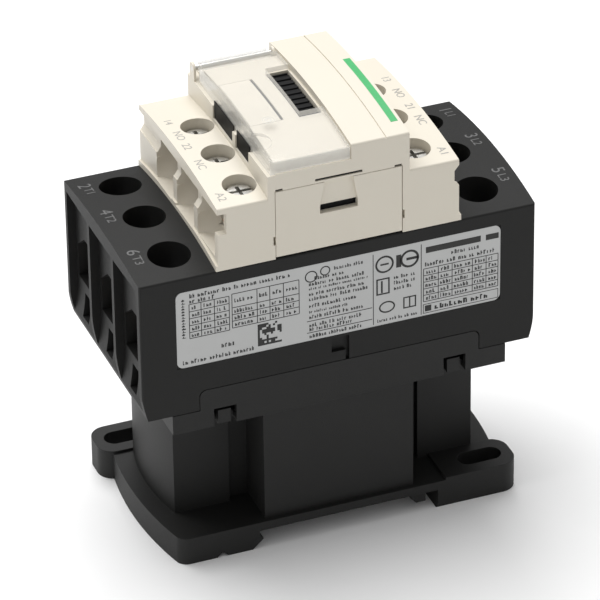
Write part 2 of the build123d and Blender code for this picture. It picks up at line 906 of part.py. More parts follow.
def wire_mouth(side, y):
    """Gabled opening through the wall between the bay and the clamp chamber."""
    start = side * (half_length - bay_depth - mouth["wall"] - chamber_break)
    half_y = bay_half - chamber_wall
    corners = [
        (start, y - half_y, entry_low),
        (start, y + half_y, entry_low),
        (start, y + half_y, mouth["side_top"]),
        (start, y + mouth["half_flat"], mouth["top"]),
        (start, y - mouth["half_flat"], mouth["top"]),
        (start, y - half_y, mouth["side_top"]),
    ]
    outline = Wire([Line(a, b) for a, b in zip(corners, corners[1:] + corners[:1])])
    return extrude(Face(outline), amount=mouth["wall"] + 2 * chamber_break, dir=(side, 0, 0))


def clamp_chamber(side, y):
    """Room for strip, clamp and screw behind the bay."""
    front = half_length - bay_depth - mouth["wall"]
    half_y = bay_half - chamber_wall
    inner = half_length - chamber_back
    room = block(side * inner, side * front, y - half_y, y + half_y, entry_low, entry_high)
    room += wire_mouth(side, y)
    play = main_clamp_half_x + clamp_play
    lift = block(side * (screw_x - play), side * (screw_x + play), y - half_y, y + half_y,
                 entry_low, chamber_top)
    point = rod_z(side * screw_x, y, point_radius, entry_low - point_depth, entry_low)
    shaft = rod_z(side * screw_x, y, shaft_radius, entry_high, housing_top + housing_rise + 1)
    strip_y = strip_half_y + hole_gap
    passage = block(side * (arc_half_x - 1), side * inner, y - strip_y, y + strip_y, strip_low, strip_top)
    return room + lift + point + shaft + passage


def arc_chambers():
    """Three contact rooms with ribs between them, open in the middle for the carrier."""
    rooms = None
    top = housing_top - arc_roof
    outer_y = arc_half_y()
    for y in pole_rows:
        low_y = max(y - bay_half, -outer_y)
        high_y = min(y + bay_half, outer_y)
        room = block(-arc_half_x, arc_half_x, low_y, high_y, middle_seam - 1, top)
        rooms = room if rooms is None else rooms + room
    way = centred(carrier_half_x + way_gap, outer_y, middle_seam - 1, top)
    low = centred(arc_half_x, outer_y, end_seam - 1, strip_low - arc_floor)
    return rooms + way + low


def housing_floor():
    """Space under the middle of the housing that the base's raised deck fills."""
    raised = centred(step_half_x + seam_gap, half_width + 1, end_seam - 1, middle_seam + seam_gap)
    return fillet(raised.edges().filter_by(Axis.Y).sort_by(Axis.Z)[-2:], step_radius)


def lead_slot(side):
    x = side * aux_screw_x
    wall_y = -(half_width - side_wall)
    return block(x - lead_slot_width / 2, x + lead_slot_width / 2, wall_y, wall_y + lead_slot_depth,
                 end_seam - 1, housing_top + housing_rise + 1)


def carrier_way():
    """Opening in the housing's roof for the carrier's upper frame."""
    upper_y = aux_rows[0] + aux_frame_half_y + part_gap
    lower_y = aux_rows[1] - aux_frame_half_y - part_gap
    half_x = carrier_half_x + part_gap
    return block(-half_x, half_x, lower_y, upper_y, housing_top - 3, housing_top + housing_rise + 1)


def break_way():
    """Pocket in the roof for the break bridge and its fixed contacts when the carrier is down."""
    half_x = aux_contact_x + aux_tip_half + part_gap
    y = aux_rows[1]
    half_y = aux_bridge_half_y + part_gap
    return block(-half_x, half_x, y - half_y, y + half_y, aux_levels()[0]["bar"] - contact_gap - part_gap,
                 housing_top + housing_rise + 1)


def release_window():
    """Small inspection slot below the label."""
    deep = -half_width + release["depth"]
    slot = block(-release["half_x"], release["half_x"], -half_width - 1, deep,
                 release["low"], release["high"])
    slit = block(release["half_x"] - release["slit"], release["half_x"], -half_width - 1, deep,
                 middle_seam, release["low"] + seam_gap)
    return slot + slit


def label_bed():
    deep = -half_width + label_sunk + label_thickness
    return block(-label_half_x, label_half_x, -half_width - 1, deep, label_low, label_high)


def pole_housing():
    body = housing_shell() - housing_floor()
    for side in sides.values():
        for y in pole_rows:
            body -= wire_bay(side, y)
            body -= clamp_chamber(side, y)
        body -= lead_slot(side)
    body -= arc_chambers()
    body -= carrier_way()
    body -= break_way()
    body -= release_window()
    return body - label_bed()


def rating_label():
    face = -half_width + label_sunk
    sheet = block(-label_half_x, label_half_x, face, face + label_thickness, label_low, label_high)
    return fillet(sheet.edges().filter_by(Axis.Y), label_corner)


# ---- Front cover
def cover_shell():
    """Low terminal blocks either side of a raised centre, resting on the arched housing."""
    low = arched(-cover_half_x, cover_half_x, half_width, housing_top - 1, cover_top, cover_rise)
    skirt = arched(-skirt_half_x, skirt_half_x, half_width, housing_top - 1,
                   housing_top + skirt_height, housing_rise)
    waists = []
    for side in (-1, 1):
        edge = side * (cover_half_x + 1)
        inner = side * (cover_half_x - waist)
        foot = side * (cover_half_x - waist_foot)
        points = [(edge, waist_high), (side * cover_half_x, waist_high), (inner, waist_high - waist_slope),
                  (inner, waist_low + waist_slope), (foot, waist_low), (edge, waist_low)]
        waists.append(prism_y(points, -half_width - 1, half_width + 1))
    low = rounded(low, Axis.X) - waists
    ridge = arched(-ridge_half_x, ridge_half_x, half_width, housing_top - 1, ridge_top, ridge_rise)
    shell = low + skirt + rounded(ridge, Axis.X)
    below = arched(-half_length, half_length, half_width + 1, middle_seam, housing_top, housing_rise)
    return shell - below


def aux_bay(side, y):
    """Open wire bay at the end of the cover with a trough-shaped floor."""
    back = cover_half_x - aux_bay_back
    outer = cover_half_x + 2
    cut = block(side * back, side * outer, y - aux_bay_half, y + aux_bay_half, aux_bay_low, aux_bay_top)
    angle = math.degrees(math.atan2(aux_bay_low - aux_floor, aux_bay_back))
    trough = Rot(0, side * (90 + angle), 0) * Cylinder(aux_bay_half, cover_half_x)
    trough = Pos(side * (back + aux_bay_back / 2), y, aux_bay_low) * trough
    room = block(side * back, side * outer, y - aux_bay_half, y + aux_bay_half, aux_floor, aux_bay_low + 1)
    cut += trough & room
    return cut


def aux_chamber(side, y):
    inner = side * (aux_screw_x - aux_clamp_half_x - part_gap)
    outer = side * (cover_half_x - aux_bay_back + chamber_break)
    room = block(inner, outer, y - aux_entry_half, y + aux_entry_half, aux_entry_low, aux_entry_high)
    point = rod_z(side * aux_screw_x, y, aux_point_radius, aux_entry_low - aux_point_depth, aux_entry_low)
    shaft = rod_z(side * aux_screw_x, y, aux_shaft_radius, aux_entry_low + 2, cover_top + cover_rise + 1)
    return room + point + shaft


def strip_passage(side, y):
    inner = side * (carrier_half_x + part_gap)
    outer = side * (aux_screw_x - aux_clamp_half_x)
    return block(inner, outer, y - aux_strip_half_y - hole_gap, y + aux_strip_half_y + hole_gap,
                 aux_strip_low, aux_strip_top)


def lead_way(side):
    x = side * aux_screw_x
    wall_y = -(half_width - side_wall - lead_wall_gap)
    low = block(x - lead_slot_width / 2, x + lead_slot_width / 2,
                wall_y - hole_gap, wall_y + 2 * lead_thickness,
                housing_top - 1, aux_strip_top + hole_gap)
    half = aux_strip_half_y + hole_gap
    across = block(x - half, x + half, wall_y - hole_gap, aux_rows[2],
                   aux_strip_low, aux_strip_top + hole_gap)
    return low + across


def cover_cavity():
    """Room inside the raised centre for the carrier's head and the auxiliary contacts."""
    half_x = aux_contact_x + aux_tip_half + cavity_side
    top = cavity_top - cavity_roof
    stem_front, stem_back = stem_ends()
    back = max(aux_rows[0] + aux_frame_half_y, stem_back) + cavity_side
    front = min(aux_rows[1] - aux_frame_half_y, stem_front) - cavity_side
    return block(-half_x, half_x, front, back, housing_top - 2, top)


def flap_bed():
    """Shallow step in the raised centre that the flap lies in."""
    top = ridge_top - flap_recess
    recess = arched(-ridge_half_x - 1, flap_right + flap_air, half_width + 1, housing_top, ridge_top + 3,
                    ridge_rise)
    keep = arched(-ridge_half_x - 2, flap_right + 2, half_width + 2, housing_top - 1, top, ridge_rise)
    left = -ridge_half_x - 1
    right = flap_right + flap_air
    front = block(left, right, -half_width - 1, -half_width + flap_thickness + flap_air,
                  ridge_top - flap_lip - flap_air, ridge_top + 3)
    side_cut = block(left, -flap_left + flap_thickness + flap_air, -half_width - 1, half_width + 1,
                     ridge_top - flap_skirt - flap_air, ridge_top + 3)
    end = block(left, right, flap_back - 2 * knuckle_radius - knuckle_room, half_width + 1,
                ridge_top - 2 * knuckle_radius - knuckle_room, ridge_top + 3)
    return recess - keep + front + side_cut + end


def window_opening():
    return block(-window_left, window_right, -window_front, window_back, cavity_top - 3, ridge_top + 3)


def carrier_side_slot():
    """Two dark slots along the load side of the raised centre, under the flap's skirt."""
    left = -ridge_half_x - 1
    right = -(aux_contact_x + aux_tip_half)
    top = ridge_top - flap_skirt + 1
    front = block(left, right, side_slot["front"], side_slot["bar_front"], side_slot["low"], top)
    back = block(left, right, side_slot["bar_back"], side_slot["back"], side_slot["low"], top)
    return front + back


def panel_bed(side):
    face = side * half_width
    inner = side * (half_width - panel_thickness)
    outer = face + side
    near_y = min(outer, inner)
    far_y = max(outer, inner)
    outline = block(-panel_half_x - panel_gap, panel_half_x + panel_gap, near_y, far_y,
                    panel_low - 2, panel_high + panel_gap)
    marks = block(-slit_half_x, slit_half_x, near_y, far_y,
                  panel_high + slit_height, panel_high + 2 * slit_height)
    mark_top = edge_mark_low + edge_mark_height
    for x in (-panel_half_x, panel_half_x):
        start = x - corner_mark if x > 0 else x
        marks += block(start, start + corner_mark, near_y, far_y, panel_high, panel_high + slit_height)
        marks += block(x - edge_mark, x + edge_mark, near_y, far_y, edge_mark_low, mark_top)
    pocket_end = side * (half_width - panel_pocket)
    pocket = block(-grip_half_low, grip_half_low, min(face, pocket_end), max(face, pocket_end),
                   grip_low, grip_low + grip_slot)
    return outline + marks + pocket


def corner_window():
    """Open corner of the coil bay on the label side."""
    x = -cover_half_x
    return block(x - 1, x + corner_depth, -half_width - 1, aux_rows[2], waist_low, waist_high)


def marker_bed():
    top = ridge_top - flap_recess
    gap = marker_gap
    bed = arched(-marker_left - gap, -marker_right + gap, half_width, housing_top, top + 1, ridge_rise)
    keep = arched(-marker_left - 1, 0, half_width + 1, housing_top - 1, top - marker_thickness, ridge_rise)
    bed = (bed - keep) & block(-marker_left - 1, 0, -marker_front - gap, marker_back + gap,
                               housing_top - 1, ridge_top + ridge_rise + 1)
    slot = block(-marker_right, -marker_right + marker_slot, -marker_front, marker_back,
                 top - marker_slot_depth, top + ridge_rise + 1)
    return bed + slot


def front_cover():
    body = cover_shell()
    for side in sides.values():
        for y in aux_rows:
            body -= aux_bay(side, y)
            body -= aux_chamber(side, y)
        for y in aux_rows[:2]:
            body -= strip_passage(side, y)
        body -= lead_way(side)
    body -= cover_cavity()
    body -= flap_bed()
    body -= window_opening()
    body -= carrier_side_slot()
    body -= corner_window()
    body -= marker_bed()
    for side in (-1, 1):
        body -= panel_bed(side)
    for x in (-ridge_half_x - ear_thickness / 2, flap_right + flap_air - ear_thickness / 2):
        body += hinge_ear(x)
    y, z = hinge_centre()
    body -= rod_x(y, z, flap_pin_radius, -half_length, flap_right + flap_air + pin_end)
    return body - ridge_groove()


def hinge_ear(x):
    """Ear with the hole for the flap's pin, at each end of the hinge."""
    y, z = hinge_centre()
    low = ridge_top - 2 * knuckle_radius - ear_drop
    ear = rod_x(y, z, knuckle_radius, x, x + ear_thickness)
    ear += block(x, x + ear_thickness, y - knuckle_radius, y + knuckle_radius, low, z)
    inside = arched(-ridge_half_x, ridge_half_x, half_width, low - 1, ridge_top, ridge_rise)
    return ear & inside


def ridge_groove():
    """Fine line along the top of the raised centre beside the stripe."""
    deep = ridge_top - groove_width
    outer = arched(groove_x, groove_x + groove_width, half_width + 1, deep - 2, ridge_top + 1, ridge_rise)
    keep = arched(groove_x - 1, groove_x + 1, half_width + 2, deep - 3, deep, ridge_rise)
    return outer - keep


def hinge_centre():
    y = flap_back - knuckle_radius
    return y, ridge_top - flap_pin_drop


def side_panel(side):
    """Snap-in cover with a tapered finger recess."""
    face = side * half_width
    inner = side * (half_width - panel_thickness)
    panel = block(-panel_half_x, panel_half_x, min(face, inner), max(face, inner), panel_low, panel_high)
    keep = arched(-half_length, half_length, half_width + 1, middle_seam,
                  housing_top + panel_gap, housing_rise)
    panel -= keep
    recess = [(-grip_half_low, grip_low + grip_slot), (grip_half_low, grip_low + grip_slot),
              (grip_half_high, panel_high + 1), (-grip_half_high, panel_high + 1)]
    deep = side * (half_width - panel_recess)
    outer = face + side
    panel -= prism_y(recess, min(outer, deep), max(outer, deep))
    through = block(-grip_half_low, grip_half_low, min(face, inner) - 1, max(face, inner) + 1,
                    grip_low, grip_low + grip_slot)
    return panel - through


def marker_plate():
    top = ridge_top - flap_recess
    card = arched(-marker_left, -marker_right, half_width, housing_top, top, ridge_rise)
    keep = arched(-marker_left - 1, 0, half_width + 1, housing_top - 1, top - marker_thickness, ridge_rise)
    return (card - keep) & block(-marker_left - 1, 0, -marker_front, marker_back,
                                 housing_top - 1, ridge_top + ridge_rise)


# ---- Flap
def front_flap():
    """Clear lid following the arched centre, with a front lip and a skirt along its left edge."""
    low = ridge_top - flap_recess + flap_air
    high = low + flap_thickness
    front = -half_width
    below = housing_top
    above = ridge_top + 2 * ridge_rise
    sheet = arched(-flap_left, flap_right, half_width, below, high, ridge_rise)
    sheet -= arched(-flap_left - 1, flap_right + 1, half_width + 1, below - 1, low, ridge_rise)
    y, z = hinge_centre()
    sheet &= block(-flap_left, flap_right, front, y, below, above)
    lip = block(-flap_left, flap_right, front, front + flap_thickness, ridge_top - flap_lip, low + flap_joint)
    skirt = arched(-flap_left, -flap_left + flap_thickness, half_width, ridge_top - flap_skirt,
                   low + flap_joint, ridge_rise)
    skirt &= block(-flap_left, 0, front, y - 2 * knuckle_radius, ridge_top - flap_skirt, above)
    left = -flap_left + ear_thickness
    right = flap_right - ear_thickness
    knuckle = rod_x(y, z, knuckle_radius - knuckle_gap, left, right)
    web = block(left, right, y - knuckle_radius, y, z, low + bow(y, ridge_rise) + flap_air)
    lid = sheet + lip + skirt
    lid -= block(-flap_left - 1, left, y - flap_relief, half_width, below, above)
    lid -= block(right, flap_right + 1, y - flap_relief, half_width, below, above)
    lid += knuckle + web
    lid -= rod_x(y, z, flap_pin_radius + running_gap, -flap_left - 2, flap_right + 2)
    thumb_top = low + bow(thumb_y, ridge_rise) + flap_thickness
    lid -= rod_z(-flap_left, -thumb_y, thumb_radius, thumb_top - thumb_depth, thumb_top + 2)
    lid -= block(-window_left, flap_right + 1, -window_front, window_back, below, above)
    return lid


def flap_pin():
    y, z = hinge_centre()
    return rod_x(y, z, flap_pin_radius, -ridge_half_x, flap_right + flap_air + pin_end)


# ---- Writing every node
def write(name, shape):
    shape.label = name
    export_step(shape, "parts/" + name + ".step")


def write_terminals():
    for label, side in sides.items():
        write(label + "_terminals", main_terminals(side))
        for i, y in enumerate(pole_rows):
            write(f"{label}_clamp_{i + 1}", main_clamp(side, y))
            write(f"{label}_screw_{i + 1}", screw(main_screw, side * screw_x, y, main_seat))
        for i, y in enumerate(aux_rows):
            write(f"{label}_small_clamp_{i + 1}", aux_clamp(side, y))
            write(f"{label}_small_screw_{i + 1}", screw(aux_screw, side * aux_screw_x, y, aux_seat))


def write_contacts():
    for i, y in enumerate(pole_rows):
        write(f"contact_bridge_{i + 1}", contact_bridge(y))
        write(f"contact_spring_{i + 1}", contact_spring(y))
    write("fixed_tips", fixed_tips())
    write("aux_make_bridge", aux_make_bridge())
    write("aux_break_bridge", aux_break_bridge())
    write("aux_make_spring", aux_make_spring())
    write("aux_break_spring", aux_break_spring())
    write("aux_terminals", aux_terminals())


def write_magnet():
    write("core_pad", core_pad())
    write("fixed_core", fixed_core())
    write("shading_rings", shading_rings())
    write("coil_bobbin", coil_bobbin())
    write("coil_winding", coil_winding())
    write("coil_leads", coil_leads())
    write("armature", armature())
    write("armature_pin", armature_pin())
    write("return_springs", return_springs())
    write("contact_carrier", contact_carrier())


def write_casing():
    write("base_housing", base_housing())
    write("rail_latch", rail_latch())
    write("rail_latch_spring", rail_latch_spring())
    write("pole_housing", pole_housing())
    write("rating_label", rating_label())
    write("front_cover", front_cover())
    write("side_panel_right", side_panel(-1))
    write("side_panel_left", side_panel(1))
    write("marker_plate", marker_plate())
    write("front_flap", front_flap())
    write("flap_pin", flap_pin())


write_casing()
write_magnet()
write_contacts()
write_terminals()
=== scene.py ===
import json
import math
import random

import bmesh
import bpy
from mathutils import Matrix, Vector


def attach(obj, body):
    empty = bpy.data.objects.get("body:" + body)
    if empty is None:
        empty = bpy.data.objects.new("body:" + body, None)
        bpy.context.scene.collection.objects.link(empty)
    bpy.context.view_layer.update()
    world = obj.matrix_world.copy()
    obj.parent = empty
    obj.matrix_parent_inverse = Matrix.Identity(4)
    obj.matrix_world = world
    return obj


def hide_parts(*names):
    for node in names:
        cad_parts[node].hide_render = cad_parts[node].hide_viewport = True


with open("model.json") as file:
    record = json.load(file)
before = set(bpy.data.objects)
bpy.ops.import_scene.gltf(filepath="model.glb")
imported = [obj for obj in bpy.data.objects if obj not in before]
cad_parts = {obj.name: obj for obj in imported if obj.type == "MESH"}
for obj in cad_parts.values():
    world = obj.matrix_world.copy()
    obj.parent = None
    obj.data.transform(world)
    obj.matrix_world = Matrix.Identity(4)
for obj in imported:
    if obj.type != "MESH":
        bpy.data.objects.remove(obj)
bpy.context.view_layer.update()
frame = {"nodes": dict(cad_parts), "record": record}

mm = 0.001
print("stage: frame loaded")


def startMaterial(name):
    material = bpy.data.materials.new(name)
    material.use_nodes = True
    nodes = material.node_tree.nodes
    nodes.clear()
    output = nodes.new("ShaderNodeOutputMaterial")
    shader = nodes.new("ShaderNodeBsdfPrincipled")
    material.node_tree.links.new(shader.outputs["BSDF"], output.inputs["Surface"])
    return material, nodes, material.node_tree.links, shader


def objectPoint(nodes):
    return nodes.new("ShaderNodeTexCoord").outputs["Object"]


def noiseOf(nodes, links, point, scale, detail=3.0, roughness=0.55):
    noise = nodes.new("ShaderNodeTexNoise")
    noise.inputs["Scale"].default_value = scale
    noise.inputs["Detail"].default_value = detail
    noise.inputs["Roughness"].default_value = roughness
    links.new(point, noise.inputs["Vector"])
    return noise.outputs["Fac"]


def rampOf(nodes, links, value, stops):
    ramp = nodes.new("ShaderNodeValToRGB")
    for element, (place, colour) in zip(ramp.color_ramp.elements, stops):
        element.position = place
        element.color = (*colour, 1.0)
    links.new(value, ramp.inputs["Fac"])
    return ramp.outputs["Color"]


def rangeOf(nodes, links, value, low, high):
    spread = nodes.new("ShaderNodeMapRange")
    spread.inputs["To Min"].default_value = low
    spread.inputs["To Max"].default_value = high
    links.new(value, spread.inputs["Value"])
    return spread.outputs["Result"]


def bumpOf(nodes, links, height, strength, distance):
    bump = nodes.new("ShaderNodeBump")
    bump.inputs["Strength"].default_value = strength
    bump.inputs["Distance"].default_value = distance
    links.new(height, bump.inputs["Height"])
    return bump.outputs["Normal"]


# strength and depth of the finest bumps
fineBumps = {"clear": (0.08, 0.0001), "metal": (0.15, 0.00003), "ink": (0.08, 0.00002)}


def tint(colour, factor):
    return tuple(min(1.0, c * factor) for c in colour)


def mouldedPlastic(name, look):
    # fine spark grain over faint flow marks from the mould
    material, nodes, links, shader = startMaterial(name)
    point = objectPoint(nodes)
    flow = noiseOf(nodes, links, point, look["flowScale"], 4.0)
    colour = rampOf(nodes, links, flow, [
        (0.3, tint(look["colour"], 1.0 - look["variation"])),
        (0.7, tint(look["colour"], 1.0 + look["variation"])),
    ])
    links.new(colour, shader.inputs["Base Color"])
    grain = noiseOf(nodes, links, point, look["grainScale"], 2.0, 0.6)
    links.new(rangeOf(nodes, links, grain, *look["roughness"]), shader.inputs["Roughness"])
    links.new(bumpOf(nodes, links, grain, look["grain"], look["grainDepth"]), shader.inputs["Normal"])
    shader.inputs["Specular IOR Level"].default_value = look["specular"]
    return material


def clearPlastic(name, look):
    # lets most light through, with a faint haze and flow lines
    material, nodes, links, shader = startMaterial(name)
    point = objectPoint(nodes)
    haze = noiseOf(nodes, links, point, look["hazeScale"], 3.0)
    links.new(rangeOf(nodes, links, haze, *look["roughness"]), shader.inputs["Roughness"])
    colour = rampOf(nodes, links, haze, [(0.3, look["colour"]), (0.75, tint(look["colour"], 0.97))])
    links.new(colour, shader.inputs["Base Color"])
    links.new(bumpOf(nodes, links, haze, *fineBumps["clear"]), shader.inputs["Normal"])
    links.new(rangeOf(nodes, links, haze, *look["alpha"]), shader.inputs["Alpha"])
    shader.inputs["IOR"].default_value = look["ior"]
    shader.inputs["Coat Weight"].default_value = look["coat"]
    return material


def platedSteel(name, look):
    material, nodes, links, shader = startMaterial(name)
    point = objectPoint(nodes)
    stretch = nodes.new("ShaderNodeMapping")
    stretch.inputs["Scale"].default_value = look["stretch"]
    links.new(point, stretch.inputs["Vector"])
    brushing = noiseOf(nodes, links, stretch.outputs["Vector"], look["scale"], 3.0)
    patches = noiseOf(nodes, links, point, look["patchScale"], 3.0)
    colour = rampOf(nodes, links, patches, [(0.35, tint(look["colour"], 0.82)), (0.7, look["colour"])])
    links.new(colour, shader.inputs["Base Color"])
    links.new(rangeOf(nodes, links, brushing, *look["roughness"]), shader.inputs["Roughness"])
    links.new(bumpOf(nodes, links, brushing, *fineBumps["metal"]), shader.inputs["Normal"])
    shader.inputs["Metallic"].default_value = 1.0
    return material


def printedInk(name, look):
    material, nodes, links, shader = startMaterial(name)
    point = objectPoint(nodes)
    wear = noiseOf(nodes, links, point, look["scale"], 2.0)
    colour = rampOf(nodes, links, wear, [(0.35, look["colour"]), (0.75, tint(look["colour"], look["fade"]))])
    links.new(colour, shader.inputs["Base Color"])
    links.new(rangeOf(nodes, links, wear, *look["roughness"]), shader.inputs["Roughness"])
    links.new(bumpOf(nodes, links, wear, *fineBumps["ink"]), shader.inputs["Normal"])
    return material


finishValues = {
    "housing": {
        "colour": (0.0105, 0.0105, 0.01), "variation": 0.08, "flowScale": 60.0,
        "grainScale": 5200.0, "grain": 0.42, "grainDepth": 0.00008, "roughness": (0.46, 0.66),
        "specular": 0.24,
    },
    "base": {
        "colour": (0.01, 0.01, 0.0095), "variation": 0.08, "flowScale": 55.0, "grainScale": 4200.0,
        "grain": 0.34, "grainDepth": 0.00007, "roughness": (0.46, 0.64), "specular": 0.32,
    },
    "cream": {
        "colour": (0.69, 0.643, 0.548), "variation": 0.012, "flowScale": 45.0,
        "grainScale": 4800.0, "grain": 0.12, "grainDepth": 0.00004, "roughness": (0.36, 0.48),
        "specular": 0.45,
    },
    "carrier": {
        "colour": (0.004, 0.004, 0.0045), "variation": 0.3, "flowScale": 240.0,
        "grainScale": 3600.0, "grain": 0.45, "grainDepth": 0.00009, "roughness": (0.36, 0.6),
        "specular": 0.12,
    },
    "card": {
        "colour": (0.7, 0.655, 0.565), "variation": 0.015, "flowScale": 160.0,
        "grainScale": 5200.0, "grain": 0.08, "grainDepth": 0.00003, "roughness": (0.55, 0.66),
        "specular": 0.3,
    },
    "foil": {
        "colour": (0.5, 0.505, 0.5), "variation": 0.02, "flowScale": 90.0, "grainScale": 6200.0,
        "grain": 0.06, "grainDepth": 0.00002, "roughness": (0.42, 0.54), "specular": 0.5,
    },
    "bobbin": {
        "colour": (0.6, 0.57, 0.48), "variation": 0.03, "flowScale": 80.0, "grainScale": 4000.0,
        "grain": 0.15, "grainDepth": 0.00005, "roughness": (0.42, 0.55), "specular": 0.4,
    },
    "rubber": {
        "colour": (0.03, 0.03, 0.03), "variation": 0.1, "flowScale": 90.0, "grainScale": 3000.0,
        "grain": 0.3, "grainDepth": 0.00008, "roughness": (0.7, 0.85), "specular": 0.3,
    },
    "clear": {
        "colour": (0.9, 0.89, 0.86), "hazeScale": 130.0, "roughness": (0.06, 0.16), "ior": 1.5,
        "alpha": (0.13, 0.19), "coat": 1.0,
    },
    # denser, darker copy of the clear finish for upright walls: painted shade and reflection of clear walls
    # seen edge-on
    "clearWallShaded": {
        "colour": (0.82, 0.805, 0.755), "hazeScale": 210.0, "roughness": (0.08, 0.2), "ior": 1.5,
        "alpha": (0.38, 0.54), "coat": 1.0,
    },
    "zinc": {
        "colour": (0.62, 0.61, 0.58), "stretch": (1.0, 9.0, 1.0), "scale": 900.0,
        "patchScale": 320.0, "roughness": (0.24, 0.42),
    },
    "wire": {
        "colour": (0.58, 0.58, 0.58), "stretch": (1.0, 1.0, 6.0), "scale": 1500.0,
        "patchScale": 600.0, "roughness": (0.2, 0.36),
    },
    "core": {
        "colour": (0.36, 0.36, 0.37), "stretch": (1.0, 14.0, 1.0), "scale": 700.0,
        "patchScale": 200.0, "roughness": (0.36, 0.55),
    },
    "copper": {
        "colour": (0.72, 0.41, 0.26), "stretch": (1.0, 6.0, 1.0), "scale": 800.0,
        "patchScale": 260.0, "roughness": (0.26, 0.44),
    },
    "silver": {
        "colour": (0.82, 0.81, 0.79), "stretch": (3.0, 3.0, 1.0), "scale": 900.0,
        "patchScale": 500.0, "roughness": (0.22, 0.38),
    },
    "winding": {
        "colour": (0.55, 0.22, 0.09), "stretch": (0.2, 0.2, 30.0), "scale": 160.0,
        "patchScale": 150.0, "roughness": (0.28, 0.42),
    },
    "inkDark": {
        "colour": (0.011, 0.011, 0.01), "scale": 2600.0, "fade": 1.5, "roughness": (0.5, 0.65),
    },
    "inkGrey": {
        "colour": (0.33, 0.32, 0.3), "scale": 2600.0, "fade": 1.15, "roughness": (0.5, 0.65),
    },
    "inkPale": {
        "colour": (0.115, 0.115, 0.115), "scale": 2600.0, "fade": 0.8, "roughness": (0.5, 0.65),
    },
    "inkGreen": {
        "colour": (0.038, 0.37, 0.115), "scale": 1800.0, "fade": 1.12, "roughness": (0.38, 0.5),
    },
}

plasticNames = ("housing", "base", "cream", "carrier", "card", "foil", "bobbin", "rubber")
steelNames = ("zinc", "wire", "core", "copper", "silver", "winding")
inkNames = ("inkDark", "inkGrey", "inkPale", "inkGreen")
finishes = {}
for finishName in plasticNames:
    finishes[finishName] = mouldedPlastic(finishName + "Plastic", finishValues[finishName])
for finishName in steelNames:
    finishes[finishName] = platedSteel(finishName + "Metal", finishValues[finishName])
for finishName in inkNames:
    finishes[finishName] = printedInk(finishName, finishValues[finishName])
for finishName in ("clear", "clearWallShaded"):
    finishes[finishName] = clearPlastic(finishName + "Plastic", finishValues[finishName])

slotFinish = {
    "black_housing": "housing", "black_base": "base", "cream_cover": "cream", "clear_flap": "clear",
    "black_carrier": "carrier", "label": "foil", "marker_card": "card", "screw_steel": "zinc",
    "spring_steel": "wire", "core_steel": "core", "copper": "copper", "silver_contact": "silver",
    "winding": "winding", "bobbin": "bobbin", "pad_rubber": "rubber",
}
slotOf = {part["node"]: part["material_slot"] for part in frame["record"]["subparts"]}


def dress(thing, finishName):
    thing.data.materials.clear()
    thing.data.materials.append(finishes[finishName])


for node, thing in frame["nodes"].items():
    dress(thing, slotFinish[slotOf[node]])
print("stage: finishes on", len(frame["nodes"]), "nodes")


def bodyOfNode(node):
    for body, names in frame["record"]["behaviour"]["bodies"].items():
        if node in names:
            return body
    return "root"


shellLook = {"angle": 32.0, "segments": 2, "mergeGap": 0.002, "flatAngle": 1.0}
edgeWidths = {
    "pole_housing": 0.22, "base_housing": 0.26, "front_cover": 0.18, "side_panel_right": 0.12,
    "side_panel_left": 0.12, "front_flap": 0.16, "contact_carrier": 0.12, "rail_latch": 0.2,
}
wallShadeLooks = {"front_flap": {"finish": "clearWallShaded", "slope": 0.6}}


def softShell(node, width, look):
    bm = bmesh.new()
    bm.from_mesh(frame["nodes"][node].data)
    bmesh.ops.remove_doubles(bm, verts=bm.verts, dist=look["mergeGap"] * mm)
    flat = math.radians(look["flatAngle"])
    bmesh.ops.dissolve_limit(bm, angle_limit=flat, verts=bm.verts, edges=bm.edges)
    mesh = bpy.data.meshes.new(node + "_shell")
    bm.to_mesh(mesh)
    bm.free()
    shell = bpy.data.objects.new(node + "_shell", mesh)
    bpy.context.scene.collection.objects.link(shell)
    bevel = shell.modifiers.new("softEdge", "BEVEL")
    bevel.width = width * mm
    bevel.segments = look["segments"]
    bevel.limit_method = "ANGLE"
    bevel.angle_limit = math.radians(look["angle"])
    bevel.miter_outer = "MITER_ARC"
    mesh.shade_smooth()
    shading = shell.modifiers.new("cleanShade", "WEIGHTED_NORMAL")
    shading.keep_sharp = True
    dress(shell, slotFinish[slotOf[node]])
    if node in wallShadeLooks:
        shadeClearWalls(mesh, wallShadeLooks[node])
    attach(shell, bodyOfNode(node))
    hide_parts(node)


def shadeClearWalls(mesh, look):
    # painted shade and reflection: the upright walls of a clear lid take a denser, darker copy of the clear
    # finish than its top
    mesh.materials.append(finishes[look["finish"]])
    for face in mesh.polygons:
        face.material_index = int(abs(face.normal.z) < look["slope"])


for node, width in edgeWidths.items():
    softShell(node, width, shellLook)
print("stage: shells softened")


rootBody = bodyOfNode("pole_housing")
cadLook = {
    "halfWidth": 0.0225, "labelFace": -0.02245, "printDepth": 0.000012, "housingTop": 0.068,
    "housingRise": 0.0018, "coverTop": 0.082, "coverRise": 0.0015,
}


def bowHeight(y, rise):
    radius = (cadLook["halfWidth"] ** 2 + rise ** 2) / (2 * rise)
    return math.sqrt(radius ** 2 - y ** 2) - (radius - rise)


def faceMatrix(x, z):
    return Matrix.Translation((x, cadLook["labelFace"], z)) @ Matrix.Rotation(math.radians(90), 4, "X")


def addBar(bm, left, right, low, high):
    middle = faceMatrix((left + right) / 2 * mm, (low + high) / 2 * mm)
    spread = Matrix.Diagonal(((right - left) * mm, (high - low) * mm, 1.0, 1.0))
    bmesh.ops.create_grid(bm, x_segments=1, y_segments=1, size=0.5, matrix=middle @ spread)


